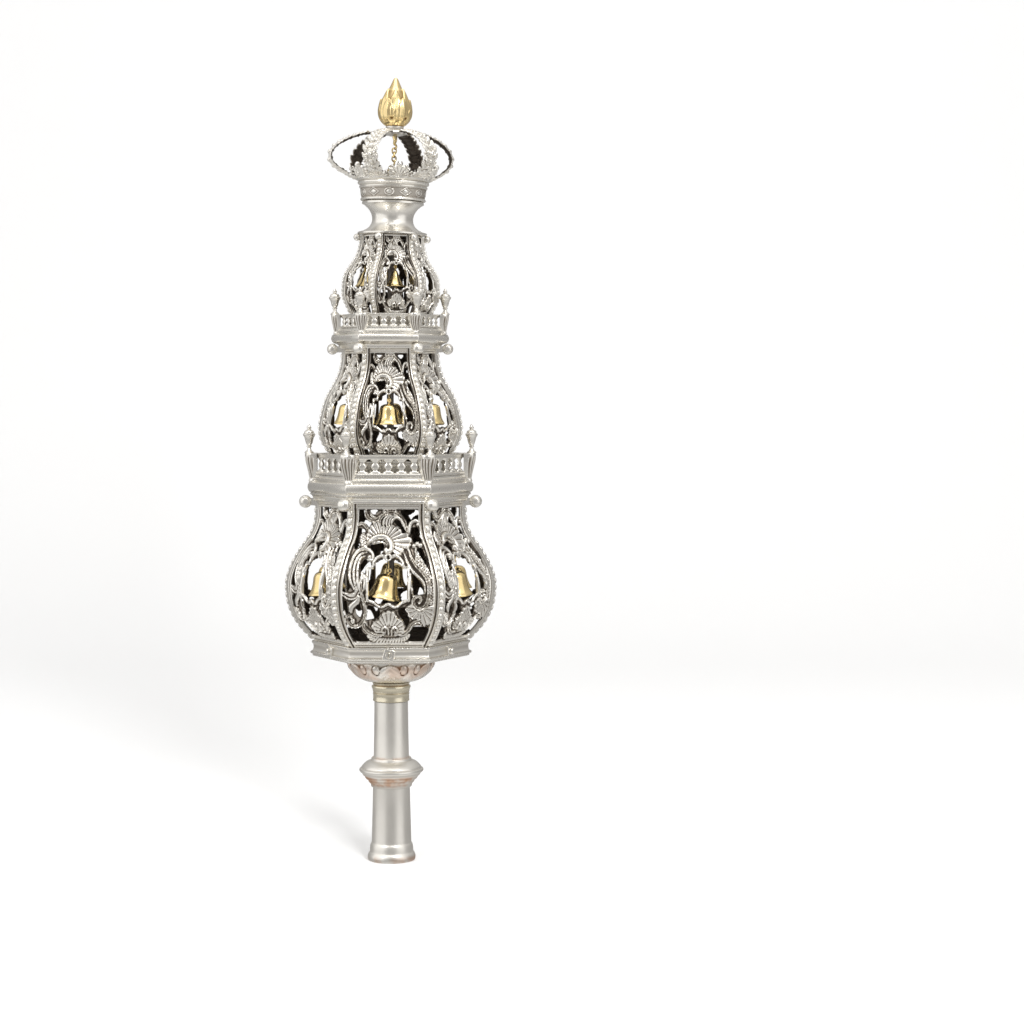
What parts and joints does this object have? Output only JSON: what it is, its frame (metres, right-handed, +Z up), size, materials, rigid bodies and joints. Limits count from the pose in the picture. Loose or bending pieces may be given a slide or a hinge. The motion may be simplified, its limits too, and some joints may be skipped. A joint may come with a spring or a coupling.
{
  "type": "torah finial",
  "caption": "Hexagonal tower of pierced silver storeys hung with gilt bells, with railed cornices, an arched crown and a gilt bud, on a hollow round stem",
  "frame": {"origin": "centre of the underside of the foot, where the finial stands", "axes": "+Z up the stem to the bud, -Y out of the front face of the tower, +X to the right of it"},
  "size_m": [0.1156, 0.1014, 0.43],
  "materials": {
    "silver": "polished silver, darkened in the recesses",
    "gilt_silver": "polished gilding",
    "pale_brass": "worn pale gilding",
    "dark_rod": "dull dark metal"
  },
  "bodies": {
    "root": {"stem": "silver", "stem_collar": "pale_brass", "leaf_dome": "silver", "base_rim": "silver", "central_rod": "dark_rod", "lower_panel_1": "silver", "lower_panel_2": "silver", "lower_panel_3": "silver", "lower_panel_4": "silver", "lower_panel_5": "silver", "lower_panel_6": "silver", "lower_bell_1": "gilt_silver", "lower_bell_2": "gilt_silver", "lower_bell_3": "gilt_silver", "lower_bell_4": "gilt_silver", "lower_bell_5": "gilt_silver", "lower_bell_6": "gilt_silver", "middle_panel_1": "silver", "middle_panel_2": "silver", "middle_panel_3": "silver", "middle_panel_4": "silver", "middle_panel_5": "silver", "middle_panel_6": "silver", "middle_bell_1": "gilt_silver", "middle_bell_2": "gilt_silver", "middle_bell_3": "gilt_silver", "middle_bell_4": "gilt_silver", "middle_bell_5": "gilt_silver", "middle_bell_6": "gilt_silver", "upper_panel_1": "silver", "upper_panel_2": "silver", "upper_panel_3": "silver", "upper_panel_4": "silver", "upper_panel_5": "silver", "upper_panel_6": "silver", "upper_bell_1": "gilt_silver", "upper_bell_2": "gilt_silver", "upper_bell_3": "gilt_silver", "upper_bell_4": "gilt_silver", "upper_bell_5": "gilt_silver", "upper_bell_6": "gilt_silver", "lower_cornice": "silver", "lower_balustrade": "silver", "upper_cornice": "silver", "upper_balustrade": "silver", "neck": "silver", "crown_band": "silver", "crown_arch_1": "silver", "crown_arch_2": "silver", "crown_arch_3": "silver", "crown_arch_4": "silver", "crown_arch_5": "silver", "crown_arch_6": "silver", "crown_boss": "silver", "crown_bell": "gilt_silver", "bud": "gilt_silver"}
  },
  "joints": []
}
